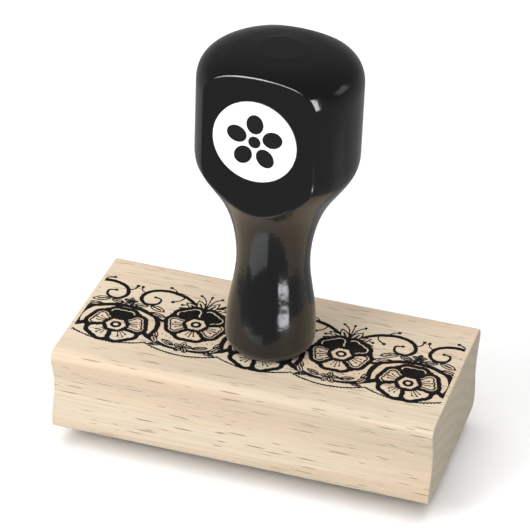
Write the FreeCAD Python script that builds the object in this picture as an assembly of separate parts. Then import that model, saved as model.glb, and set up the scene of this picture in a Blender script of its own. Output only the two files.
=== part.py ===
"""A wood-mounted rubber stamp: turned handle, moulded block, foam cushion and engraved rubber die.

One STEP file per piece. Millimetres, +Z up. The origin is the centre of the block's footprint
on the paper that the printing face rests on. X runs along the block and -Y is its front.
"""
import FreeCAD, Part
import math
import os

V = FreeCAD.Vector
X_AXIS, Y_AXIS, Z_AXIS = V(1, 0, 0), V(0, 1, 0), V(0, 0, 1)

# ---- the stack under the block, from the paper up
RELIEF_HEIGHT = 1.0
DIE_FLOOR = 1.3
FILM = 0.1
CUSHION = 1.6
DIE_LENGTH = 71.0
DIE_WIDTH = 23.6
DIE_CORNER = 1.5
DIE_BACK_SHIFT = -0.3        # the die's centre line lies this far along Y
DIE_ART_SCALE = 0.94         # the die prints a little smaller than the picture on the block

# ---- mounting block, a length of moulding with a shallow finger cove along both long sides
BLOCK_LENGTH = 76.2
BLOCK_HEIGHT = 18.5
# half width, height and corner radius down one long side, before rounding
BLOCK_SIDE = [
    (19.83, BLOCK_HEIGHT, 1.9),
    (17.28, 11.5, 6.0),
    (17.28, 8.5, 6.0),
    (18.50, 3.4, 4.0),
    (18.50, 0.0, 2.3),
]
END_EDGE_ROUND = 0.25

# ---- turned handle with two flats milled on the knob
HANDLE_X, HANDLE_Y = 0.52, -0.69
HANDLE_TURN = -3.7           # degrees, clockwise seen from above
FOOT_RADIUS, FOOT_ROUND = 8.8, 2.7
NECK = [(8.5, 8.5), (7.16, 17.6), (7.87, 26.3), (10.65, 33.4), (14.8, 39.8)]
KNOB_RADIUS = 15.55
KNOB_BOTTOM, DOME_START, HANDLE_HEIGHT = 43.6, 56.6, 64.08
DOME_POWER = 3.0             # superellipse power of the domed top
DOME_STEPS = 8
FLAT_DISTANCE = 11.14        # from the handle's axis to each flat
FLAT_EDGE_ROUND = 0.75

# ---- round label on the front flat
LABEL_RADIUS, LABEL_X, LABEL_HEIGHT = 8.14, -0.5, 50.0
LABEL_GLUE, LABEL_THICK, LABEL_INK = 0.05, 0.15, 0.04

# ---- wood screw from under the block into the handle
SCREW_LENGTH = 38.0
SCREW_SHANK, SCREW_CORE, SCREW_THREAD = 2.1, 1.45, 2.1      # radii
SCREW_HEAD, SCREW_HEAD_DEPTH, SCREW_HEAD_RIM = 4.0, 2.6, 0.3
SCREW_PITCH, SCREW_POINT = 2.4, 4.0
SCREW_SUNK = 0.3
SLOT_WIDTH, SLOT_DEPTH, SLOT_LENGTH = 0.9, 1.5, 4.4
SCREW_CLEARANCE = 0.15
HOLE_BELOW_POINT = 2.0

# ---- flowers: number of petals, where they start, their length and width, and the first one's angle
LABEL_FLOWER = (5, 1.7, 3.9, 3.3, math.pi / 2)
LOW_FLOWER = (6, 1.4, 2.6, 2.3, math.pi / 6)
HIGH_FLOWER = (7, 2.3, 3.9, 3.2, math.pi / 2)

# ---- lace border, printed on the block and engraved on the die
INK = 0.05
LOW_FLOWERS, LOW_Y = (-29.6, 0.0, 29.6), -6.4
HIGH_FLOWERS, HIGH_Y = (-14.8, 14.8), 0.0
SPRIGS, SPRIG_Y = (-14.8, 14.8), 7.0
EDGING_HALF_LENGTH, SCALLOP_COUNT = 36.6, 10
SCALLOP_Y, SCALLOP_LINE = -7.6, 0.7
SCALLOP_START = 200          # degrees; each scallop's arc ends at the mirror angle
SPRIG_LEAVES = ((25, 4.2), (60, 3.8), (90, 4.4), (120, 3.8), (155, 4.2))     # degrees and length
SPRIG_LEAF_WIDTH = 1.4
VINE_X, VINE_Y, VINE_RADIUS, VINE_LINE = 29.0, 5.6, 3.0, 0.5
VINE_START, VINE_TURN = 100, 280     # degrees
VINE_LEAVES = (60, 130)              # degrees
VINE_LEAF_LENGTH, VINE_LEAF_WIDTH, VINE_LEAF_X, VINE_LEAF_Y = 3.0, 1.2, 5.0, 0.6

# ---- heights worked out from the stack
DIE_BACK = RELIEF_HEIGHT + DIE_FLOOR
CUSHION_BOTTOM = DIE_BACK + FILM
CUSHION_TOP = CUSHION_BOTTOM + CUSHION
BLOCK_BOTTOM = CUSHION_TOP + FILM
BLOCK_TOP = BLOCK_BOTTOM + BLOCK_HEIGHT


def rounded_outline(corners):
    """A closed wire in the YZ plane through corners (y, z, radius), each one a tangent arc."""
    arcs = []
    for i, (y, z, radius) in enumerate(corners):
        corner = V(0, y, z)
        before = V(0, *corners[i - 1][:2])
        after = V(0, *corners[(i + 1) % len(corners)][:2])
        to_before, to_after = (before - corner).normalize(), (after - corner).normalize()
        half_angle = to_before.getAngle(to_after) / 2
        setback = radius / math.tan(half_angle)
        middle_way = (to_before + to_after).normalize()
        centre = corner + middle_way * (radius / math.sin(half_angle))
        arcs.append((corner + to_before * setback, centre - middle_way * radius,
                     corner + to_after * setback))
    edges = []
    for i, (start, middle, end) in enumerate(arcs):
        edges.append(Part.Arc(start, middle, end).toShape())
        edges.append(Part.LineSegment(end, arcs[(i + 1) % len(arcs)][0]).toShape())
    return Part.Wire(edges)


def placed_on_block(shape):
    """Moves a shape from the handle's own frame to its place on the block."""
    moved = shape.copy()
    moved.rotate(V(0, 0, 0), Z_AXIS, HANDLE_TURN)
    moved.translate(V(HANDLE_X, HANDLE_Y, BLOCK_TOP))
    return moved


def cylinder(radius, bottom, top):
    """An upright cylinder on the handle's axis, in the handle's own frame."""
    return Part.makeCylinder(radius, top - bottom, V(0, 0, bottom))


# ---- die, cushion and films

def die_sheet(bottom, thickness):
    """A flat sheet trimmed to the die's outline."""
    sheet = Part.makeBox(DIE_LENGTH, DIE_WIDTH, thickness,
                         V(-DIE_LENGTH / 2, DIE_BACK_SHIFT - DIE_WIDTH / 2, bottom))
    upright = [e for e in sheet.Edges if abs(e.tangentAt(e.FirstParameter).z) > 0.99]
    return sheet.makeFillet(DIE_CORNER, upright)


# ---- lace border: flat faces in the XY plane

def petal(x, y, angle, start, length, width):
    """An oval petal that points away from (x, y) at the angle, from start to start + length."""
    along = V(math.cos(angle), math.sin(angle), 0)
    across = V(-along.y, along.x, 0)
    centre = V(x, y, 0) + along * (start + length / 2)
    oval = Part.Ellipse(centre + along * length / 2, centre + across * width / 2, centre)
    return Part.Face(Part.Wire(oval.toShape()))


def leaf(x, y, angle, length, width):
    """A pointed leaf with its stalk end at (x, y)."""
    along = V(math.cos(angle), math.sin(angle), 0)
    bulge = V(-along.y, along.x, 0) * (width / 2)
    root, middle = V(x, y, 0), V(x, y, 0) + along * length / 2
    tip = root + along * length
    sides = [Part.Arc(root, middle + bulge, tip).toShape(), Part.Arc(tip, middle - bulge, root).toShape()]
    return Part.Face(Part.Wire(sides))


def arc_band(x, y, radius, line, start, end):
    """A line of constant width along an arc about (x, y), between two angles in degrees."""
    def point(r, degrees):
        return V(x + r * math.cos(math.radians(degrees)), y + r * math.sin(math.radians(degrees)), 0)
    inner, outer, middle = radius - line / 2, radius + line / 2, (start + end) / 2
    edges = [
        Part.Arc(point(outer, start), point(outer, middle), point(outer, end)).toShape(),
        Part.LineSegment(point(outer, end), point(inner, end)).toShape(),
        Part.Arc(point(inner, end), point(inner, middle), point(inner, start)).toShape(),
        Part.LineSegment(point(inner, start), point(outer, start)).toShape(),
    ]
    return Part.Face(Part.Wire(edges))


def flower(x, y, petals, start, length, width, turn):
    """A round centre with oval petals about it."""
    faces = [Part.Face(Part.Wire(Part.Circle(V(x, y, 0), Z_AXIS, start * 0.7).toShape()))]
    for i in range(petals):
        faces.append(petal(x, y, turn + 2 * math.pi * i / petals, start, length, width))
    return faces


def lace_faces():
    """Every motif of the border, in the block's X and Y."""
    faces = []
    for x in LOW_FLOWERS:
        faces += flower(x, LOW_Y, *LOW_FLOWER)
    for x in HIGH_FLOWERS:
        faces += flower(x, HIGH_Y, *HIGH_FLOWER)
    for x in SPRIGS:
        for degrees, length in SPRIG_LEAVES:
            faces.append(leaf(x, SPRIG_Y, math.radians(degrees), length, SPRIG_LEAF_WIDTH))
    spacing = 2 * EDGING_HALF_LENGTH / SCALLOP_COUNT
    radius = spacing / 2 / math.cos(math.radians(SCALLOP_START - 180))
    for i in range(SCALLOP_COUNT):
        x = -EDGING_HALF_LENGTH + spacing * (i + 0.5)
        faces.append(arc_band(x, SCALLOP_Y, radius, SCALLOP_LINE, SCALLOP_START, 540 - SCALLOP_START))
    for side in (1, -1):
        start = VINE_START - 60 * side
        faces.append(arc_band(-VINE_X * side, VINE_Y, VINE_RADIUS, VINE_LINE, start, start + VINE_TURN))
        for degrees in VINE_LEAVES:
            faces.append(leaf(-(VINE_X + VINE_LEAF_X) * side, VINE_Y + VINE_LEAF_Y, math.radians(degrees),
                              VINE_LEAF_LENGTH, VINE_LEAF_WIDTH))
    return faces


def lace(scale, bottom, height):
    """The border as separate raised motifs, scaled about the origin."""
    solids = []
    for face in lace_faces():
        grown = face.copy()
        grown.scale(scale)
        grown.translate(V(0, 0, bottom))
        solids.append(grown.extrude(V(0, 0, height)))
    return solids[0].multiFuse(solids[1:]).removeSplitter()


def rubber_die():
    sheet = die_sheet(RELIEF_HEIGHT, DIE_FLOOR)
    relief = lace(DIE_ART_SCALE, 0, RELIEF_HEIGHT)
    return sheet.fuse(relief).removeSplitter()


def index_print():
    under_foot = placed_on_block(cylinder(FOOT_RADIUS + 0.2, -1, 1))
    return lace(1.0, BLOCK_TOP, INK).cut(under_foot)


# ---- block

def mount_block():
    front = [(-y, z + BLOCK_BOTTOM, r) for y, z, r in reversed(BLOCK_SIDE)]
    back = [(y, z + BLOCK_BOTTOM, r) for y, z, r in BLOCK_SIDE]
    profile = Part.Face(rounded_outline(back + front))
    profile.translate(V(-BLOCK_LENGTH / 2, 0, 0))
    block = profile.extrude(V(BLOCK_LENGTH, 0, 0))
    ends = [f for f in block.Faces if abs(f.normalAt(0, 0).x) > 0.99]
    block = block.makeFillet(END_EDGE_ROUND, [e for f in ends for e in f.Edges])
    return block.cut(placed_on_block(screw_hole_in_block()))


def screw_hole_in_block():
    """Clearance hole through the block with a countersink for the screw's head."""
    bottom = -BLOCK_HEIGHT
    hole = cylinder(SCREW_SHANK + SCREW_CLEARANCE, bottom - 1, 1)
    mouth = SCREW_HEAD + SCREW_CLEARANCE
    rim = cylinder(mouth, bottom - 1, bottom + SCREW_SUNK + SCREW_HEAD_RIM)
    cone = Part.makeCone(mouth, SCREW_SHANK + SCREW_CLEARANCE, SCREW_HEAD_DEPTH - SCREW_HEAD_RIM,
                         V(0, 0, bottom + SCREW_SUNK + SCREW_HEAD_RIM))
    return hole.fuse([rim, cone])


# ---- handle

def handle():
    foot_start, foot_end = V(FOOT_RADIUS - FOOT_ROUND, 0, 0), V(FOOT_RADIUS, 0, FOOT_ROUND)
    lean = FOOT_ROUND * math.sqrt(0.5)
    foot_middle = V(FOOT_RADIUS - FOOT_ROUND + lean, 0, FOOT_ROUND - lean)
    neck = Part.BSplineCurve()
    neck.interpolate(Points=[foot_end] + [V(r, 0, z) for r, z in NECK] + [V(KNOB_RADIUS, 0, KNOB_BOTTOM)],
                     InitialTangent=Z_AXIS, FinalTangent=Z_AXIS)
    dome = Part.BSplineCurve()
    dome.interpolate(Points=[dome_point(i / DOME_STEPS * math.pi / 2) for i in range(DOME_STEPS + 1)],
                     InitialTangent=Z_AXIS, FinalTangent=-X_AXIS)
    top = V(0, 0, HANDLE_HEIGHT)
    outline = Part.Wire([
        Part.LineSegment(V(0, 0, 0), foot_start).toShape(),
        Part.Arc(foot_start, foot_middle, foot_end).toShape(),
        neck.toShape(),
        Part.LineSegment(V(KNOB_RADIUS, 0, KNOB_BOTTOM), V(KNOB_RADIUS, 0, DOME_START)).toShape(),
        dome.toShape(),
        Part.LineSegment(top, V(0, 0, 0)).toShape(),
    ])
    turned = Part.Face(outline).revolve(V(0, 0, 0), Z_AXIS, 360)
    reach = 2 * KNOB_RADIUS
    between_flats = Part.makeBox(2 * reach, 2 * FLAT_DISTANCE, HANDLE_HEIGHT + 2,
                                 V(-reach, -FLAT_DISTANCE, -1))
    body = turned.common(between_flats)
    flats = [f for f in body.Faces if abs(f.normalAt(0, 0).y) > 0.999 and f.Surface.TypeId.endswith("Plane")]
    body = body.makeFillet(FLAT_EDGE_ROUND, [e for f in flats for e in f.Edges])
    into_handle = SCREW_LENGTH - (BLOCK_HEIGHT - SCREW_SUNK)
    return placed_on_block(body.cut(cylinder(SCREW_CORE, -1, into_handle + HOLE_BELOW_POINT)))


def dome_point(angle):
    """A point of the superellipse dome: angle 0 is its edge and a right angle is its top."""
    across, up = math.cos(angle), math.sin(angle)
    share = 2 / DOME_POWER
    return V(KNOB_RADIUS * max(across, 0) ** share, 0,
             DOME_START + (HANDLE_HEIGHT - DOME_START) * up ** share)


# ---- screw

def handle_screw():
    """Countersunk wood screw, head down, with its point in the handle."""
    head = -BLOCK_HEIGHT + SCREW_SUNK
    rim, neck = head + SCREW_HEAD_RIM, head + SCREW_HEAD_DEPTH
    tip = head + SCREW_LENGTH
    outline = [(0, head), (SCREW_HEAD, head), (SCREW_HEAD, rim), (SCREW_SHANK, neck), (SCREW_SHANK, 0)]
    z = 0.5
    while z + SCREW_PITCH < tip - SCREW_POINT:
        outline += [(SCREW_CORE, z), (SCREW_CORE, z + 0.6 * SCREW_PITCH), (SCREW_THREAD, z + 0.8 * SCREW_PITCH)]
        z += SCREW_PITCH
    outline += [(SCREW_CORE, z), (SCREW_CORE, tip - SCREW_POINT), (0, tip)]
    points = [V(r, 0, height) for r, height in outline]
    screw = Part.Face(Part.makePolygon(points + points[:1])).revolve(V(0, 0, 0), Z_AXIS, 360)
    for length, width in ((SLOT_LENGTH, SLOT_WIDTH), (SLOT_WIDTH, SLOT_LENGTH)):
        screw = screw.cut(Part.makeBox(length, width, SLOT_DEPTH + 1, V(-length / 2, -width / 2, head - 1)))
    return placed_on_block(screw)


# ---- label, built against the front flat in the handle's own frame

def label_layer(depth, thickness):
    """A round layer whose back lies depth in front of the flat."""
    centre = V(LABEL_X, -FLAT_DISTANCE - depth, LABEL_HEIGHT)
    return placed_on_block(Part.makeCylinder(LABEL_RADIUS, thickness, centre, -Y_AXIS))


def label_mark():
    """A plain five-petal blossom, printed on the label."""
    marks = flower(0, 0, *LABEL_FLOWER)
    depth = LABEL_GLUE + LABEL_THICK
    solids = []
    for face in marks:
        upright = face.copy()
        upright.rotate(V(0, 0, 0), X_AXIS, 90)
        upright.translate(V(LABEL_X, -FLAT_DISTANCE - depth, LABEL_HEIGHT))
        solids.append(upright.extrude(-Y_AXIS * LABEL_INK))
    return placed_on_block(Part.makeCompound(solids))


PIECES = {
    "rubber_die": rubber_die(),
    "die_adhesive": die_sheet(DIE_BACK, FILM),
    "cushion_foam": die_sheet(CUSHION_BOTTOM, CUSHION),
    "mount_adhesive": die_sheet(CUSHION_TOP, FILM),
    "mount_block": mount_block(),
    "index_print": index_print(),
    "handle": handle(),
    "handle_screw": handle_screw(),
    "label_adhesive": label_layer(0, LABEL_GLUE),
    "label_disc": label_layer(LABEL_GLUE, LABEL_THICK),
    "label_mark": label_mark(),
}

os.makedirs("parts", exist_ok=True)
for name, shape in PIECES.items():
    shape.exportStep("parts/" + name + ".step")
    box = shape.BoundBox
    print(f"{name:15s} solids {len(shape.Solids):3d}  valid {shape.isValid()}  volume {shape.Volume:9.2f}  "
          f"x {box.XMin:.2f} {box.XMax:.2f}  y {box.YMin:.2f} {box.YMax:.2f}  z {box.ZMin:.2f} {box.ZMax:.2f}")
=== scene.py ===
"""Looks of the wood-mounted rubber stamp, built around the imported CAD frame.

Metres, unless a name ends in _MM. The border artwork is drawn in millimetres.
"""
import math

import bpy
import numpy as np
from mathutils import Matrix, Vector


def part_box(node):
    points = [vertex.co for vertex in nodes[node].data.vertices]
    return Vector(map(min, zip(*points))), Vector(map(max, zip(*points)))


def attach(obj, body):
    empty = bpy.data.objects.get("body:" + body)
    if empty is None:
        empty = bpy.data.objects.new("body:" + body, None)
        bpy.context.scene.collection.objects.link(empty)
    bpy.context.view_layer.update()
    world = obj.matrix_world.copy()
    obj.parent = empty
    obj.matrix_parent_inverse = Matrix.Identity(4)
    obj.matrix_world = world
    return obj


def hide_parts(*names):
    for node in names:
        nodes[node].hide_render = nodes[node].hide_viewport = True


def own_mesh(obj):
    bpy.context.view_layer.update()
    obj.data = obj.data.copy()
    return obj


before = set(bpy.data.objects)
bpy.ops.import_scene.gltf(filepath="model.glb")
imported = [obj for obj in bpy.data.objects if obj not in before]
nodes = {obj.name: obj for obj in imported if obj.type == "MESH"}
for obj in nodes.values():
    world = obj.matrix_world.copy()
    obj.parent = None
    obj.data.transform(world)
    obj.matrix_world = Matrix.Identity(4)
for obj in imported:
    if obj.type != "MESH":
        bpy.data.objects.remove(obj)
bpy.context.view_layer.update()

MM = 0.001
scene = bpy.context.scene


# ---- camera: the stamp seen from its front right, from above

CAMERA_AZIMUTH, CAMERA_ELEVATION, CAMERA_ROLL = 16.20, 31.89, 2.25     # degrees
CAMERA_DISTANCE = 0.5421
CAMERA_AIM = Vector((-0.0056, 0.0149, 0.0296))
LENS, SENSOR = 185.7, 36.0             # millimetres
NEAREST, FURTHEST = 0.01, 50


def add_camera():
    azimuth, elevation = math.radians(CAMERA_AZIMUTH), math.radians(CAMERA_ELEVATION)
    back = Vector((math.sin(azimuth) * math.cos(elevation),
                   -math.cos(azimuth) * math.cos(elevation),
                   math.sin(elevation)))
    camera = bpy.data.objects.new("camera", bpy.data.cameras.new("camera"))
    scene.collection.objects.link(camera)
    camera.data.lens, camera.data.sensor_width = LENS, SENSOR
    camera.data.clip_start, camera.data.clip_end = NEAREST, FURTHEST
    turn = back.to_track_quat("Z", "Y").to_matrix() @ Matrix.Rotation(math.radians(CAMERA_ROLL), 3, "Z")
    camera.matrix_world = Matrix.Translation(CAMERA_AIM + back * CAMERA_DISTANCE) @ turn.to_4x4()
    scene.camera = camera


add_camera()


# ---- node materials

class Look:
    """A Principled material whose nodes are added by short calls."""

    def __init__(self, name):
        self.material = bpy.data.materials.new(name)
        self.material.use_nodes = True
        self.tree = self.material.node_tree
        self.shader = self.tree.nodes["Principled BSDF"]

    def node(self, kind, settings=None, **inputs):
        made = self.tree.nodes.new("ShaderNode" + kind)
        for key, value in (settings or {}).items():
            setattr(made, key, value)
        for key, value in inputs.items():
            self.put(made.inputs[key.replace("_", " ")], value)
        return made

    def put(self, socket, value):
        """Links a node's output to the socket, or sets the socket's own value."""
        if isinstance(value, bpy.types.NodeSocket):
            self.tree.links.new(value, socket)
        elif hasattr(value, "__len__") and len(value) == 3 and len(socket.default_value) == 4:
            socket.default_value = (*value, 1)
        else:
            socket.default_value = value

    def place(self, x=1.0, y=1.0, z=1.0, offset=(0, 0, 0)):
        """The point on the object, in millimetres, stretched along each axis."""
        point = self.node("TexCoord").outputs["Object"]
        scale = (x / MM, y / MM, z / MM)
        return self.node("Mapping", Vector=point, Scale=scale, Location=offset).outputs["Vector"]

    def noise(self, vector, scale=1.0, detail=2.0, roughness=0.5, distortion=0.0):
        return self.node("TexNoise", Vector=vector, Scale=scale, Detail=detail, Roughness=roughness,
                         Distortion=distortion).outputs["Fac"]

    def cells(self, vector):
        return self.node("TexVoronoi", Vector=vector, Scale=1.0)

    def math(self, operation, a, b=0.0):
        made = self.node("Math", {"operation": operation})
        self.put(made.inputs[0], a)
        self.put(made.inputs[1], b)
        return made.outputs[0]

    def fade(self, value, low, high, to_low=0.0, to_high=1.0):
        """value taken from low..high to to_low..to_high, smoothly and held at the ends."""
        made = self.node("MapRange", {"interpolation_type": "SMOOTHSTEP"})
        for index, number in enumerate((value, low, high, to_low, to_high)):
            self.put(made.inputs[index], number)
        return made.outputs[0]

    def mix(self, share, a, b):
        made = self.node("Mix", {"data_type": "RGBA"})
        self.put(made.inputs["Factor"], share)
        self.put(made.inputs[6], a)
        self.put(made.inputs[7], b)
        return made.outputs[2]

    def bump(self, height, depth_mm):
        return self.node("Bump", Height=height, Strength=1.0, Distance=depth_mm * MM).outputs["Normal"]

    def finish(self, color=None, roughness=None, normal=None, **fixed):
        """Sets what varies by link, and every other socket by its own value."""
        for name, value in (("Base Color", color), ("Roughness", roughness), ("Normal", normal)):
            if value is not None:
                self.put(self.shader.inputs[name], value)
        for key, value in fixed.items():
            self.put(self.shader.inputs[key.replace("_", " ")], value)
        return self.material


PALE_WOOD, WARM_WOOD, GREY_WOOD = (0.66, 0.56, 0.425), (0.64, 0.505, 0.37), (0.585, 0.52, 0.415)
FIBRE_SHADE, FLECK = (0.43, 0.33, 0.235), (0.27, 0.19, 0.125)
END_WOOD, END_RING = (0.54, 0.47, 0.36), (0.44, 0.37, 0.27)
END_SAWN, END_PORE = (0.61, 0.55, 0.44), (0.27, 0.21, 0.15)
FLECKS = (
    # cell length and width in mm, the fleck's radius in its cell, the share of cells that hold one, offset
    (12.5, 0.72, 0.22, 0.95, (0.3, 0.1, 0.7)),
    (6.5, 0.55, 0.20, 0.75, (5.1, 3.3, 2.9)),
)


def pale_hardwood():
    """Planed hardwood: fine fibres, faint bands, short dark flecks, and growth rings on the sawn ends."""
    look = Look("pale_hardwood")
    fibre = look.noise(look.place(0.03, 2.2, 2.2), detail=5, roughness=0.62)
    fine = look.noise(look.place(0.12, 8.0, 8.0), detail=2, roughness=0.6)
    band = look.noise(look.place(0.010, 0.13, 0.17, offset=(3, 7, 2)), detail=2, distortion=0.3)
    tone = look.noise(look.place(0.015, 0.42, 0.5, offset=(1, 4, 9)), detail=3, distortion=0.4)
    streak = look.noise(look.place(0.02, 1.1, 1.1, offset=(6, 2, 4)), detail=2)
    color = look.mix(look.fade(band, 0.40, 0.62), PALE_WOOD, WARM_WOOD)
    color = look.mix(look.fade(tone, 0.48, 0.68, 0, 0.6), color, GREY_WOOD)
    color = look.mix(look.fade(fibre, 0.30, 0.60, 0.34, 0.0), color, FIBRE_SHADE)
    color = look.mix(look.fade(fine, 0.30, 0.58, 0.20, 0.0), color, FIBRE_SHADE)
    color = look.mix(look.fade(streak, 0.30, 0.42, 0.26, 0.0), color, FIBRE_SHADE)
    flecks = ray_flecks(look)
    color = look.mix(look.math("MULTIPLY", flecks, 0.85), color, FLECK)

    facing = look.node("SeparateXYZ", Vector=look.node("NewGeometry").outputs["Normal"]).outputs["X"]
    on_end = look.fade(look.math("ABSOLUTE", facing), 0.6, 0.9)
    pores = look.cells(look.place(0.5, 4.2, 4.2)).outputs["Distance"]
    ring = look.node("TexWave", {"wave_type": "RINGS", "rings_direction": "X", "wave_profile": "SAW"},
                     Vector=look.place(1, 1, 1, offset=(0, 31, 46)), Scale=0.11, Distortion=1.6, Detail=2.0,
                     Detail_Scale=0.35).outputs["Fac"]
    ray = look.noise(look.place(0.1, 3.0, 0.22, offset=(0, 2, 5)), detail=3, roughness=0.6)
    saw = look.noise(look.place(0.1, 0.12, 2.4, offset=(0, 8, 1)), detail=3, distortion=0.5)
    end = look.mix(look.fade(ring, 0.2, 1.0, 0.0, 0.45), END_WOOD, END_RING)
    end = look.mix(look.fade(ray, 0.45, 0.7, 0.0, 0.45), end, END_SAWN)
    end = look.mix(look.fade(saw, 0.5, 0.7, 0.0, 0.25), end, END_RING)
    end = look.mix(look.fade(pores, 0.08, 0.34, 0.5, 0.0), end, END_PORE)
    color = look.mix(on_end, color, end)

    side_height = look.math("SUBTRACT", look.math("ADD", fibre, look.math("MULTIPLY", fine, 0.6)),
                            look.math("MULTIPLY", flecks, 0.8))
    end_height = look.math("ADD", look.math("ADD", saw, ray), look.fade(pores, 0.0, 0.3))
    height = look.node("Mix", {"data_type": "FLOAT"})
    for index, value in ((0, on_end), (2, side_height), (3, end_height)):
        look.put(height.inputs[index], value)
    normal = look.bump(height.outputs[0], 0.045)
    return look.finish(color, look.fade(fibre, 0.2, 0.8, 0.60, 0.74), normal, Specular_IOR_Level=0.3)


def ray_flecks(look):
    """Short thin dashes along the grain: long cells of which a share hold one fleck each."""
    masks = []
    for length, width, radius, share, offset in FLECKS:
        cell = look.cells(look.place(1 / length, 1 / width, 1 / width, offset))
        lot = look.node("SeparateColor", Color=cell.outputs["Color"]).outputs[0]
        chosen = look.math("GREATER_THAN", lot, 1 - share)
        fleck = look.fade(cell.outputs["Distance"], radius * 0.5, radius, 1.0, 0.0)
        masks.append(look.math("MULTIPLY", fleck, chosen))
    return look.math("MAXIMUM", *masks)


def black_lacquer():
    """Glossy black lacquer over turned wood: orange peel, telegraphed grain and a few dust nibs."""
    look = Look("black_lacquered_wood")
    peel = look.noise(look.place(0.8, 0.8, 0.8), detail=2)
    grain = look.noise(look.place(1.5, 1.5, 0.12, offset=(2, 5, 1)), detail=4, roughness=0.6)
    nib = look.cells(look.place(0.42, 0.42, 0.42))
    nibs = look.fade(nib.outputs["Distance"], 0.03, 0.09, 1.0, 0.0)
    height = look.math("ADD", peel, look.math("MULTIPLY", grain, 0.55))
    height = look.math("ADD", height, look.math("MULTIPLY", nibs, 0.4))
    smear = look.noise(look.place(0.12, 0.12, 0.06, offset=(4, 4, 4)), detail=3)
    return look.finish((0.0018, 0.0020, 0.0022), look.fade(smear, 0.3, 0.7, 0.10, 0.16),
                       look.bump(height, 0.03), IOR=1.55)


def printing_ink():
    """Ink soaked into bare wood: nearly black, paler where the grain stands up."""
    look = Look("black_ink")
    fibre = look.noise(look.place(0.3, 5.0, 5.0), detail=3)
    blot = look.noise(look.place(0.9, 0.9, 0.9, offset=(8, 1, 0)), detail=2)
    color = look.mix(look.fade(fibre, 0.55, 0.8, 0.0, 0.35), (0.006, 0.005, 0.005), (0.035, 0.028, 0.022))
    color = look.mix(look.fade(blot, 0.45, 0.75, 0.0, 0.3), color, (0.016, 0.013, 0.012))
    return look.finish(color, look.fade(fibre, 0.3, 0.7, 0.55, 0.75), look.bump(fibre, 0.01),
                       Specular_IOR_Level=0.12)


def white_vinyl():
    look = Look("white_vinyl")
    mottle = look.noise(look.place(0.5, 0.5, 0.5), detail=3)
    grit = look.noise(look.place(3, 3, 3), detail=1)
    color = look.mix(mottle, (0.93, 0.93, 0.925), (0.96, 0.96, 0.955))
    return look.finish(color, look.fade(mottle, 0.3, 0.7, 0.36, 0.46), look.bump(grit, 0.004))


def label_ink():
    look = Look("label_ink")
    mottle = look.noise(look.place(1.4, 1.4, 1.4), detail=3)
    color = look.mix(mottle, (0.006, 0.006, 0.007), (0.012, 0.012, 0.013))
    return look.finish(color, look.fade(mottle, 0.3, 0.7, 0.34, 0.46), look.bump(mottle, 0.004),
                       Specular_IOR_Level=0.2)


def grey_rubber():
    """Laser-engraved rubber: a fine toothed surface, dusty in the hollows."""
    look = Look("grey_rubber")
    tooth = look.noise(look.place(7, 7, 7), detail=3)
    scan = look.noise(look.place(0.4, 9, 1), detail=1)
    cloud = look.noise(look.place(0.25, 0.25, 0.25), detail=3)
    color = look.mix(cloud, (0.060, 0.056, 0.056), (0.095, 0.088, 0.086))
    height = look.node("SeparateXYZ", Vector=look.node("TexCoord").outputs["Object"]).outputs["Z"]
    hollow = look.fade(height, 0.6 * MM, 1.0 * MM)
    color = look.mix(look.math("MULTIPLY", hollow, 0.6), color, (0.16, 0.15, 0.145))
    return look.finish(color, look.fade(tooth, 0.3, 0.7, 0.62, 0.8),
                       look.bump(look.math("ADD", tooth, look.math("MULTIPLY", scan, 0.7)), 0.03))


def white_foam():
    look = Look("white_foam")
    cell = look.cells(look.place(3.2, 3.2, 3.2)).outputs["Distance"]
    big = look.cells(look.place(1.5, 1.5, 1.5, offset=(3, 3, 3))).outputs["Distance"]
    color = look.mix(look.fade(cell, 0.2, 0.7), (0.62, 0.62, 0.59), (0.86, 0.86, 0.83))
    height = look.math("ADD", cell, look.math("MULTIPLY", big, 0.8))
    return look.finish(color, look.fade(big, 0.1, 0.6, 0.95, 0.8), look.bump(height, 0.12),
                       Subsurface_Weight=0.15, Subsurface_Scale=0.001)


def clear_film():
    look = Look("clear_film")
    smear = look.noise(look.place(0.6, 0.6, 0.6), detail=2)
    color = look.mix(smear, (0.80, 0.77, 0.66), (0.88, 0.86, 0.78))
    return look.finish(color, look.fade(smear, 0.3, 0.7, 0.25, 0.4), look.bump(smear, 0.01))


def plated_steel():
    look = Look("plated_steel")
    turned = look.noise(look.place(0.3, 0.3, 6.0), detail=2)
    stain = look.noise(look.place(0.5, 0.5, 0.5), detail=3)
    color = look.mix(stain, (0.66, 0.64, 0.56), (0.74, 0.73, 0.70))
    return look.finish(color, look.fade(stain, 0.3, 0.7, 0.25, 0.4), look.bump(turned, 0.01), Metallic=1.0)


# ---- lace border artwork, in millimetres on the block's top

ART_PITCH = 0.06
ART_HALF_LENGTH, ART_FRONT, ART_BACK = 37.2, -13.0, 12.6
REPEAT = 29.6                # from one low flower to the next; the middle one is at x = 0
LOW_Y, HIGH_Y = -5.9, -0.2   # low flowers stand on the repeat, high ones half way between
FINE = 0.26                  # width of the thin lines


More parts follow.
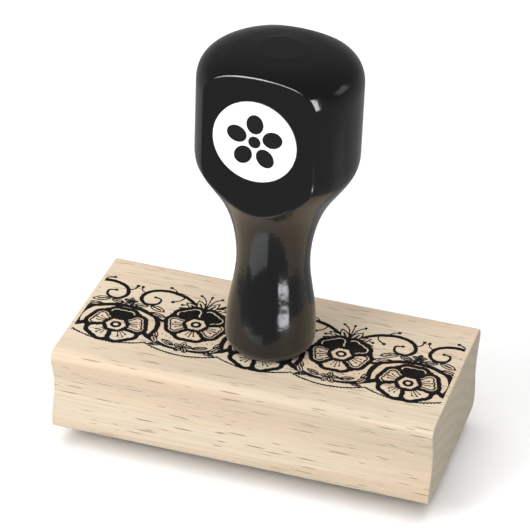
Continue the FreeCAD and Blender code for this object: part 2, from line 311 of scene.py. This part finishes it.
class Canvas:
    """A signed distance picture of ink: negative inside the ink, in millimetres."""

    def __init__(self):
        self.x = np.arange(-ART_HALF_LENGTH - 1, ART_HALF_LENGTH + 1, ART_PITCH)
        self.y = np.arange(ART_FRONT, ART_BACK, ART_PITCH)
        self.ink = np.full((len(self.y), len(self.x)), 1.0)

    def stamp(self, strokes, rings=((True, 0.0),)):
        """Stamps a shape made of round-ended strokes. Each ring is (ink or bare, inset from its outline)."""
        strokes = [(np.asarray(points, float), np.asarray(radii, float)) for points, radii in strokes]
        reach = max(radii.max() for _, radii in strokes) + 1.0
        every = np.vstack([points for points, _ in strokes])
        low, high = every.min(0) - reach, every.max(0) + reach
        i0, i1 = np.searchsorted(self.x, (low[0], high[0]))
        j0, j1 = np.searchsorted(self.y, (low[1], high[1]))
        if i0 == i1 or j0 == j1:
            return
        px, py = np.meshgrid(self.x[i0:i1], self.y[j0:j1])
        found = np.full(px.shape, 1e9)
        for points, radii in strokes:
            for (ax, ay), (bx, by), ra, rb in zip(points[:-1], points[1:], radii[:-1], radii[1:]):
                dx, dy = bx - ax, by - ay
                t = np.clip(((px - ax) * dx + (py - ay) * dy) / max(dx * dx + dy * dy, 1e-9), 0, 1)
                d = np.hypot(px - ax - t * dx, py - ay - t * dy) - (ra + t * (rb - ra))
                np.minimum(found, d, out=found)
        part = self.ink[j0:j1, i0:i1]
        for dark, inset in rings:
            part[:] = np.minimum(part, found + inset) if dark else np.maximum(part, -(found + inset))


BARE = ((False, 0.0),)


def disc(x, y, radius):
    return [(x, y), (x + 1e-3, y)], [radius, radius]


def smooth(points, steps=7):
    """A Catmull-Rom curve through the points, with so many steps from each to the next."""
    p = np.asarray(points, float)
    p = np.vstack([2 * p[0] - p[1], p, 2 * p[-1] - p[-2]])
    t = np.linspace(0, 1, steps, endpoint=False)[:, None]
    spans = []
    for a, b, c, d in zip(p[:-3], p[1:-2], p[2:-1], p[3:]):
        spans.append(0.5 * (2 * b + (c - a) * t + (2 * a - 5 * b + 4 * c - d) * t ** 2
                            + (3 * b - a - 3 * c + d) * t ** 3))
    return np.vstack(spans + [p[-2:-1]])


def brush(x, y, points, widths, flip=1):
    """A smooth line of changing width through points given from (x, y). flip -1 mirrors it."""
    path = smooth(np.asarray(points, float) * (flip, 1) + (x, y))
    share = np.linspace(0, 1, len(path))
    return path, np.interp(share, np.linspace(0, 1, len(widths)), widths) / 2


def polar(x, y, degrees, radius):
    return x + radius * math.cos(math.radians(degrees)), y + radius * math.sin(math.radians(degrees))


def leaf(canvas, x, y, degrees, length, width, flip=1):
    """A pointed leaf drawn in outline, with a swelling midrib."""
    t = np.linspace(0, 1, 11)
    if flip < 0:
        degrees = 180 - degrees
    path = np.array([polar(x, y, degrees, length * s) for s in t])
    radii = width / 2 * np.sin(math.pi * t ** 0.9) ** 0.8
    canvas.stamp([(path, np.maximum(radii, 0.1))])
    inner = radii - FINE
    canvas.stamp([(path[inner > 0.05], inner[inner > 0.05])], BARE)
    canvas.stamp([(path[1:8], 0.06 + 0.16 * width / 2 * np.sin(math.pi * t[1:8]))])


# rings of a petal, each one ink or bare, and how far inside the petal's outline it starts
OPEN = ((True, 0.0), (False, 0.95))
ECHOED = ((True, 0.0), (False, 0.88), (True, 1.14), (False, 1.44))
FULL = ((True, 0.0), (False, 0.92), (True, 1.2))
SOLID = ((True, 0.0),)


def petal(canvas, x, y, degrees, reach, width, rings):
    """A broad petal with a notched tip, from the flower's centre out to its reach."""
    lobe = width * 0.31
    stem = [polar(x, y, degrees, r) for r in (reach * 0.3, reach * 0.5, reach - width * 0.47)]
    strokes = [(stem, [width * 0.22, width * 0.4, width * 0.45])]
    for side in (-1, 1):
        strokes.append(disc(*polar(x, y, degrees + side * 17, reach - lobe * 0.98), lobe))
    canvas.stamp(strokes, rings)


def stamens(canvas, x, y, degrees, start, end):
    for turn, share in ((-11, 0.8), (0, 1.0), (11, 0.8)):
        root = polar(x, y, degrees + turn * 0.7, start)
        tip = polar(x, y, degrees + turn, start + (end - start) * share)
        canvas.stamp([([root, tip], [0.09, 0.09]), disc(*tip, 0.2)])


EYE_CRIMPS = 12


def eye(canvas, x, y):
    """The ringed centre of a flower, with a crimped edge."""
    canvas.stamp([disc(x, y, 2.7)])
    canvas.stamp([disc(x, y, 1.85)], BARE)
    for i in range(EYE_CRIMPS):
        canvas.stamp([disc(*polar(x, y, 360 // EYE_CRIMPS * i, 1.88), 0.2)], SOLID if i % 2 else BARE)
    canvas.stamp([disc(x, y, 1.1)])
    canvas.stamp([disc(x, y, 0.5)], BARE)


PETALS = 5
PETAL_TURN = 360 // PETALS


def flower(canvas, x, y, turn, reach, width, kinds):
    """A five-petalled flower with sepals between; kinds are the rings of its petals, in turn."""
    for i in range(PETALS):
        sepal = turn + (i + 0.5) * PETAL_TURN
        path = [(x, y), polar(x, y, sepal, reach - 1.5), polar(x, y, sepal, reach - 0.4)]
        canvas.stamp([(path, [1.0, 1.15, 0.15])])
    for i, rings in enumerate(kinds):
        degrees = turn + i * PETAL_TURN
        petal(canvas, x, y, degrees, reach, width, rings)
        if rings is not FULL:
            stamens(canvas, x, y, degrees, 2.4, reach - 1.9)
    eye(canvas, x, y)


def blossom(canvas, x, y, size):
    for i in range(PETALS):
        leaf(canvas, x, y, 18 + i * PETAL_TURN, size, size * 0.68)
    canvas.stamp([disc(x, y, size * 0.2)])


def spray(canvas, x, y, leaves, flip=1):
    for dx, dy, degrees, length, width in leaves:
        leaf(canvas, x + flip * dx, y + dy, degrees, length, width, flip)


SCROLL_PATH = [(1.0, 4.6), (2.6, 7.0), (5.4, 8.9), (9.2, 9.6), (12.3, 8.3), (13.3, 5.7), (11.9, 3.8),
               (9.7, 4.3), (9.3, 6.1), (10.7, 6.7)]
SCROLL_WIDTHS = [0.5, 0.74, 0.92, 0.84, 0.82, 0.76, 0.62, 0.46, 0.36]
SCROLL_BUDS = (
    # the stalk's path and the bud's radius
    ([(5.0, 8.7), (5.6, 7.2), (6.9, 6.2)], 0.42),
    ([(3.0, 7.4), (3.6, 6.4), (4.8, 5.8)], 0.34),
    ([(7.0, 9.3), (7.6, 10.4), (8.8, 11.0)], 0.38),
    ([(12.9, 7.4), (14.0, 8.2), (14.3, 9.4)], 0.4),
)
# leaves of a spray: x and y of the root, direction in degrees, length and width
SCROLL_LEAVES = ((10.6, 3.4, 200, 3.6, 1.7),)
CROWN_LEAVES = ((0.2, 0.0, 4, 4.9, 1.6), (0.2, 0.2, 30, 4.7, 1.9), (0.1, 0.3, 62, 4.4, 1.9))
SWAG_LEAVES = ((1.9, -8.4, 24, 3.1, 1.3), (4.2, -8.9, -12, 2.6, 1.1), (5.8, -6.9, 60, 3.0, 1.3))
ARCH_LEAVES = ((1.1, 8.3, 10, 2.8, 1.4), (4.9, 6.8, -12, 3.6, 1.4), (7.9, -0.6, -58, 3.0, 1.4))


def scroll(canvas, x, y, flip):
    """A curling tendril that rises beside a high flower and rolls in over a low one."""
    canvas.stamp([brush(x, y, SCROLL_PATH, SCROLL_WIDTHS, flip), disc(x + flip * 10.7, y + 6.6, 0.36)])
    for points, bud in SCROLL_BUDS:
        canvas.stamp([brush(x, y, points, [0.32, 0.26, 0.3], flip),
                      disc(x + flip * points[-1][0], y + points[-1][1], bud)])
    spray(canvas, x, y, SCROLL_LEAVES, flip)


def crown(canvas, x, y):
    """Leaves and three beaded stalks over a high flower."""
    canvas.stamp([disc(x, y, 0.6)])
    for flip in (-1, 1):
        spray(canvas, x, y, CROWN_LEAVES, flip)
        canvas.stamp([brush(x, y, [(0.1, 0.8), (0.5, 3.4), (1.1, 4.9), (2.2, 5.9)], [0.34, 0.28, 0.24], flip),
                      disc(x + flip * 2.2, y + 5.9, 0.34)])
    canvas.stamp([([(x, y), (x, y + 5.8)], [0.16, 0.12]), disc(x, y + 6.0, 0.34)])


def swag(canvas, x, y):
    """What hangs under a high flower: a swag with a small blossom, leaves and dots."""
    for flip in (-1, 1):
        canvas.stamp([brush(x, y, [(0.0, -9.4), (3.0, -9.2), (6.2, -8.0), (8.8, -6.2), (9.6, -4.2)],
                            [0.6, 0.75, 1.1, 1.15, 0.8], flip)])
        spray(canvas, x, y, SWAG_LEAVES, flip)
        for i in range(4):
            canvas.stamp([disc(x + flip * (2.3 + 0.95 * i), y - 6.6 + 0.42 * i, 0.12)])
    blossom(canvas, x, y - 8.5, 1.9)


def arch(canvas, x, y):
    """A heavy arch over a low flower, with leaves along it."""
    for flip in (-1, 1):
        canvas.stamp([brush(x, y, [(0.0, 7.5), (3.0, 7.1), (5.9, 5.8), (8.2, 4.7), (10.4, 5.0)],
                            [1.0, 1.05, 0.95, 0.75, 0.35], flip),
                      brush(x, y, [(6.2, 5.6), (7.6, 3.6), (7.9, 1.0), (7.0, -1.8)],
                            [0.5, 1.1, 1.0, 0.5], flip)])
        spray(canvas, x, y, ARCH_LEAVES, flip)
    blossom(canvas, x, y + 9.2, 1.5)


EDGING_Y, EDGING_DROP = -9.5, 2.0      # its height between scallops, and how far each one hangs down
EDGING_CRIMP = 0.07
EDGING_POINTS, EDGING_BEAD_EVERY = 460, 4


def edging(canvas):
    """The scalloped edge: a crimped line with beads."""
    x = np.linspace(-ART_HALF_LENGTH, ART_HALF_LENGTH, EDGING_POINTS)
    bow = np.abs(np.cos(2 * math.pi * x / REPEAT)) ** 0.8
    y = EDGING_Y - EDGING_DROP * bow + EDGING_CRIMP * np.sin(x * 9)
    canvas.stamp([(np.column_stack([x, y]), np.full(len(x), 0.14))])
    for px, py in zip(x[::EDGING_BEAD_EVERY], y[::EDGING_BEAD_EVERY]):
        canvas.stamp([disc(px, py - 0.12, 0.18)])


def speckle(shape, size, seed):
    """Smooth random field from -1 to 1, with features about size cells across."""
    rng = np.random.default_rng(seed)
    coarse = rng.uniform(-1, 1, (int(shape[0] / size) + 3, int(shape[1] / size) + 3))
    v, u = np.arange(shape[0]) / size, np.arange(shape[1]) / size
    j, i = v.astype(int), u.astype(int)
    fv, fu = (v - j)[:, None], (u - i)[None, :]
    fv, fu = fv * fv * (3 - 2 * fv), fu * fu * (3 - 2 * fu)
    a, b = coarse[np.ix_(j, i)], coarse[np.ix_(j, i + 1)]
    c, d = coarse[np.ix_(j + 1, i)], coarse[np.ix_(j + 1, i + 1)]
    return (a * (1 - fu) + b * fu) * (1 - fv) + (c * (1 - fu) + d * fu) * fv


LOW_KINDS = (FULL, ECHOED, OPEN, OPEN, ECHOED)
HIGH_KINDS = (OPEN, ECHOED, FULL, FULL, ECHOED)
LOW_REACH, LOW_PETAL, LOW_LIFT = 6.5, 6.8, 0.45      # petal reach and width, and its height over LOW_Y
HIGH_REACH, HIGH_PETAL = 6.5, 6.9
ROUGHENING = ((0.05, 4, 3), (0.035, 9, 4))           # depth in mm, cell size and seed


def draw_border():
    """The whole border. Later shapes cover earlier ones, so the flowers come last."""
    canvas = Canvas()
    edging(canvas)
    highs = [REPEAT * (k + 0.5) for k in range(-2, 2)]
    for x in highs:
        swag(canvas, x, HIGH_Y)
        for flip in (-1, 1):
            scroll(canvas, x, HIGH_Y, flip)
    for x in (-REPEAT, 0.0, REPEAT):
        arch(canvas, x, LOW_Y)
        flower(canvas, x, LOW_Y + LOW_LIFT, 90, LOW_REACH, LOW_PETAL, LOW_KINDS)
    for x in highs:
        crown(canvas, x, HIGH_Y + 4.4)
        flower(canvas, x, HIGH_Y, -90, HIGH_REACH, HIGH_PETAL, HIGH_KINDS)
    canvas.ink += sum(depth * speckle(canvas.ink.shape, size, seed) for depth, size, seed in ROUGHENING)
    return canvas


# ---- from the distance picture to meshes

CELL_EDGES = {
    # corners inside (bits: near left, near right, far right, far left): edge pairs, inside on the left
    1: [("left", "near")], 2: [("near", "right")], 3: [("left", "right")], 4: [("right", "far")],
    5: [("left", "near"), ("right", "far")], 6: [("near", "far")], 7: [("left", "far")],
    8: [("far", "left")], 9: [("far", "near")], 10: [("near", "right"), ("far", "left")],
    11: [("far", "right")], 12: [("right", "left")], 13: [("right", "near")], 14: [("near", "left")],
}


def trace(canvas):
    """The outlines of the ink as closed loops of points, in millimetres."""
    value = canvas.ink
    inside = (value < 0).astype(int)
    code = inside[:-1, :-1] + 2 * inside[:-1, 1:] + 4 * inside[1:, 1:] + 8 * inside[1:, :-1]
    follows = {}
    for j, i in np.argwhere((code > 0) & (code < 15)):
        edge = {"near": (0, j, i), "far": (0, j + 1, i), "left": (1, j, i), "right": (1, j, i + 1)}
        for start, end in CELL_EDGES[code[j, i]]:
            follows[edge[start]] = edge[end]

    def crossing(way, j, i):
        a = value[j, i]
        b = value[j, i + 1] if way == 0 else value[j + 1, i]
        share = a / (a - b)
        return (canvas.x[i] + (share * ART_PITCH if way == 0 else 0),
                canvas.y[j] + (share * ART_PITCH if way == 1 else 0))

    loops = []
    while follows:
        start, at = follows.popitem()
        loop = [crossing(*start)]
        while at != start:
            loop.append(crossing(*at))
            at = follows.pop(at)
        loops.append(np.array(loop))
    return loops


def eased(loop):
    """A loop with its stair steps smoothed away and every other point dropped."""
    smoothed = (np.roll(loop, 1, axis=0) + 2 * loop + np.roll(loop, -1, axis=0)) / 4
    return smoothed[::2]


SMALLEST_LOOP = 12           # loops of fewer points are specks, and are left out


def inked_mesh(name, loops, scale, low, high, bevel=0.0, every=1):
    """The artwork as a solid mesh between two heights, its edges bevelled inwards, from every nth point."""
    curve = bpy.data.curves.new(name, "CURVE")
    curve.dimensions, curve.fill_mode = "2D", "BOTH"
    curve.extrude = (high - low) / 2 - bevel
    curve.bevel_depth, curve.bevel_resolution, curve.offset = bevel, 0, -bevel
    for loop in loops:
        if len(loop) < SMALLEST_LOOP:
            continue
        points = eased(loop)[::every] * scale * MM
        spline = curve.splines.new("POLY")
        spline.points.add(len(points) - 1)
        flat = np.zeros((len(points), 4))
        flat[:, :2], flat[:, 3] = points, 1
        spline.points.foreach_set("co", flat.ravel())
        spline.use_cyclic_u = True
    maker = bpy.data.objects.new(name, curve)
    scene.collection.objects.link(maker)
    bpy.context.view_layer.update()
    mesh = bpy.data.meshes.new_from_object(maker.evaluated_get(bpy.context.evaluated_depsgraph_get()))
    bpy.data.objects.remove(maker)
    mesh.transform(Matrix.Translation((0, 0, (low + high) / 2)))
    return mesh


def add_piece(name, mesh, body, material, replaced):
    piece = bpy.data.objects.new(name, mesh)
    scene.collection.objects.link(piece)
    mesh.materials.clear()
    mesh.materials.append(material)
    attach(piece, body)
    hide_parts(replaced)
    return piece


# ---- index print: the border inked on the block, except under the handle's foot

FOOT_RADIUS_MM = 8.8
PRINT_UNDER_FOOT_MM = 1.5    # the print runs on so far under the handle's foot

handle_low, handle_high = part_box("handle")
handle_axis = (handle_low + handle_high) / 2

border = draw_border()
border.ink = np.maximum(border.ink, np.abs(border.x)[None, :] - ART_HALF_LENGTH)
die_loops = trace(border)
from_axis = np.hypot(border.x[None, :] - handle_axis.x / MM, border.y[:, None] - handle_axis.y / MM)
border.ink = np.maximum(border.ink, FOOT_RADIUS_MM - PRINT_UNDER_FOOT_MM - from_axis)
print_loops = trace(border)

print_low, print_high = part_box("index_print")
inked = add_piece("inked_border", inked_mesh("inked_border", print_loops, 1.0, print_low.z, print_high.z),
                  "mount", printing_ink(), "index_print")
# the ink doesn't show in the lacquer or darken the wood around it
inked.visible_glossy = inked.visible_diffuse = inked.visible_shadow = False


# ---- die: a floor sheet with the border standing on it

CORNER_STEPS = 8
EDGE_SPACING = 0.6 * MM


def sheet_outline(low, high, corner):
    """The points of a rounded rectangle, counter-clockwise."""
    points = []
    for x, y, start in ((high.x - corner, high.y - corner, 0), (low.x + corner, high.y - corner, 90),
                        (low.x + corner, low.y + corner, 180), (high.x - corner, low.y + corner, 270)):
        for step in range(CORNER_STEPS + 1):
            a = math.radians(start + 90 * step / CORNER_STEPS)
            points.append((x + corner * math.cos(a), y + corner * math.sin(a)))
    return points


def divided(outline, spacing):
    """The outline with its long sides divided, so that they can be roughened."""
    points = []
    for (ax, ay), (bx, by) in zip(outline, outline[1:] + outline[:1]):
        count = max(1, round(math.hypot(bx - ax, by - ay) / spacing))
        points += [(ax + (bx - ax) * i / count, ay + (by - ay) * i / count) for i in range(count)]
    return np.array(points)


def slab(name, low, high, corner, levels, rough, seed):
    """A cut sheet with ragged sides. levels are (share of the thickness, inset), from the bottom up."""
    outline = divided(sheet_outline(low, high, corner), EDGE_SPACING)
    centre = np.array([(low.x + high.x) / 2, (low.y + high.y) / 2])
    outward = outline - centre
    outward /= np.linalg.norm(outward, axis=1)[:, None]
    rng = np.random.default_rng(seed)
    ragged = rng.uniform(0, rough, len(outline))
    verts, faces, n = [], [], len(outline)
    for share, inset in levels:
        ring = outline - outward * (inset + ragged)[:, None]
        verts += [(x, y, low.z + (high.z - low.z) * share) for x, y in ring]
    for level in range(len(levels) - 1):
        for i in range(n):
            a, b = level * n + i, level * n + (i + 1) % n
            faces.append((a, b, b + n, a + n))
    faces.append(tuple(range(n))[::-1])
    faces.append(tuple((len(levels) - 1) * n + i for i in range(n)))
    mesh = bpy.data.meshes.new(name)
    mesh.from_pydata(verts, [], faces)
    mesh.update()
    return mesh


DIE_CORNER = 1.5 * MM
DIE_ART_SCALE = 0.94
RELIEF, RELIEF_SLOPE = 1.0 * MM, 0.12 * MM
DIE_LEVELS = ((0.0, 0.08 * MM), (0.06, 0.0), (0.95, 0.0), (1.0, 0.04 * MM))
DIE_RAGGED, DIE_SEED = 0.03 * MM, 5


def add_die():
    low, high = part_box("rubber_die")
    floor_low = Vector((low.x, low.y, RELIEF))
    floor = slab("die_floor", floor_low, high, DIE_CORNER, DIE_LEVELS, DIE_RAGGED, DIE_SEED)
    # the relief's upper bevel ends inside the floor
    relief = inked_mesh("die_relief", die_loops, DIE_ART_SCALE, low.z, low.z + RELIEF + 2 * RELIEF_SLOPE,
                        RELIEF_SLOPE, every=2)
    rubber = grey_rubber()
    add_piece("die_floor", floor, "die", rubber, "rubber_die")
    add_piece("die_relief", relief, "die", rubber, "rubber_die")


add_die()


# ---- cushion: a die-cut foam sheet, its cut edges drawn in a little

FOAM_DRAW, FOAM_LEVELS = 0.16 * MM, 8
FOAM_RAGGED, FOAM_SEED = 0.07 * MM, 11


def add_cushion():
    low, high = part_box("cushion_foam")
    shares = [i / FOAM_LEVELS for i in range(FOAM_LEVELS + 1)]
    levels = [(share, FOAM_DRAW * math.sin(math.pi * share) ** 0.7) for share in shares]
    foam = slab("foam_cushion", low, high, DIE_CORNER, levels, FOAM_RAGGED, FOAM_SEED)
    piece = add_piece("foam_cushion", foam, "mount", white_foam(), "cushion_foam")
    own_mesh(piece)


add_cushion()


# ---- finishes of the CAD nodes that keep their own shape

def dress(node, material):
    mesh = nodes[node].data
    mesh.materials.clear()
    mesh.materials.append(material)


dress("mount_block", pale_hardwood())
dress("handle", black_lacquer())
dress("handle_screw", plated_steel())
dress("label_disc", white_vinyl())
dress("label_mark", label_ink())
film = clear_film()
for name in ("label_adhesive", "die_adhesive", "mount_adhesive"):
    dress(name, film)


# ---- stage and lights

FLOOR_HALF, FLOOR_Z = 3.0, -0.02 * MM
FLOOR_COLOR = (0.93, 0.93, 0.93)
SKY_HEIGHTS, SKY_STRENGTHS = (-0.1, 0.35), (0.33, 0.2)     # sine of the elevation, and the light there
WARM, COOL = (1.0, 0.985, 0.96), (0.93, 0.97, 1.0)
HEAD = (0, 0, 0.07)          # where lights that show on the handle's head are aimed
LAMPS = (
    # name, place, aim, size, watts, tint, what it shows in
    ("overhead", (0, -0.05, 1.0), (0, 0, 0), (1.2, 1.2), 12.5, (1, 1, 1), "diffuse"),
    ("key", (-0.20, -0.28, 0.24), (0, 0, 0.02), (0.2, 0.2), 1.1, WARM, "both"),
    ("edge", (-0.14, -0.41, 0.40), HEAD, (0.36, 0.2), 2.1, (1, 1, 1), "gloss"),
    ("shoulder", (0.138, -0.092, 0.122), (0.010, -0.012, 0.080), (0.06, 0.14), 0.30, (1, 1, 1), "gloss"),
    ("rear", (0.35, 0.15, 0.25), HEAD, (0.15, 0.12), 0.055, COOL, "gloss"),
    ("foot", (0.070, -0.064, 0.0062), (0, 0, 0.030), (0.042, 0.011), 0.016, COOL, "gloss"),
    ("band", (-0.029, -0.044, 0.0015), (-0.029, -0.044, 1), (0.056, 0.036), 0.0058, COOL, "gloss"),
    ("side", (0.105, 0.033, 0.0015), (0.105, 0.033, 1), (0.07, 0.04), 0.0011, COOL, "gloss"),
)


def add_floor():
    """A plain white floor, hidden from glossy rays so that it doesn't grey the lacquer."""
    mesh = bpy.data.meshes.new("floor")
    corners = [(x, y, FLOOR_Z) for x, y in ((-1, -1), (1, -1), (1, 1), (-1, 1))]
    mesh.from_pydata([(x * FLOOR_HALF, y * FLOOR_HALF, z) for x, y, z in corners], [], [(0, 1, 2, 3)])
    floor = bpy.data.objects.new("floor", mesh)
    scene.collection.objects.link(floor)
    mesh.materials.append(Look("floor").finish(FLOOR_COLOR, 0.9, Specular_IOR_Level=0.0))
    floor.visible_glossy = False


def add_softbox(name, place, aim, size, watts, tint, shows):
    """A rectangular lamp aimed at a point, which shows in matt surfaces, in gloss or in both."""
    light = bpy.data.lights.new(name, "AREA")
    light.shape = "RECTANGLE"
    light.size, light.size_y = size
    light.energy, light.color = watts, tint
    lamp = bpy.data.objects.new(name, light)
    scene.collection.objects.link(lamp)
    lamp.location = place
    lamp.rotation_euler = (Vector(place) - Vector(aim)).to_track_quat("Z", "Y").to_euler()
    lamp.visible_diffuse = shows != "gloss"
    lamp.visible_glossy = shows != "diffuse"
    lamp.visible_camera = False


def add_world():
    """An even white studio, a little brighter near the horizon."""
    world = bpy.data.worlds.new("studio")
    scene.world = world
    world.use_nodes = True
    tree = world.node_tree
    direction = tree.nodes.new("ShaderNodeTexCoord").outputs["Generated"]
    height = tree.nodes.new("ShaderNodeSeparateXYZ")
    tree.links.new(direction, height.inputs[0])
    strength = tree.nodes.new("ShaderNodeMapRange")
    tree.links.new(height.outputs["Z"], strength.inputs["Value"])
    for name, value in zip(("From Min", "From Max", "To Min", "To Max"), SKY_HEIGHTS + SKY_STRENGTHS):
        strength.inputs[name].default_value = value
    background = tree.nodes["Background"]
    background.inputs["Color"].default_value = (1.0, 1.0, 1.0, 1)
    tree.links.new(strength.outputs["Result"], background.inputs["Strength"])


add_floor()
add_world()
for lamp_settings in LAMPS:
    add_softbox(*lamp_settings)
scene.view_settings.view_transform = "Standard"
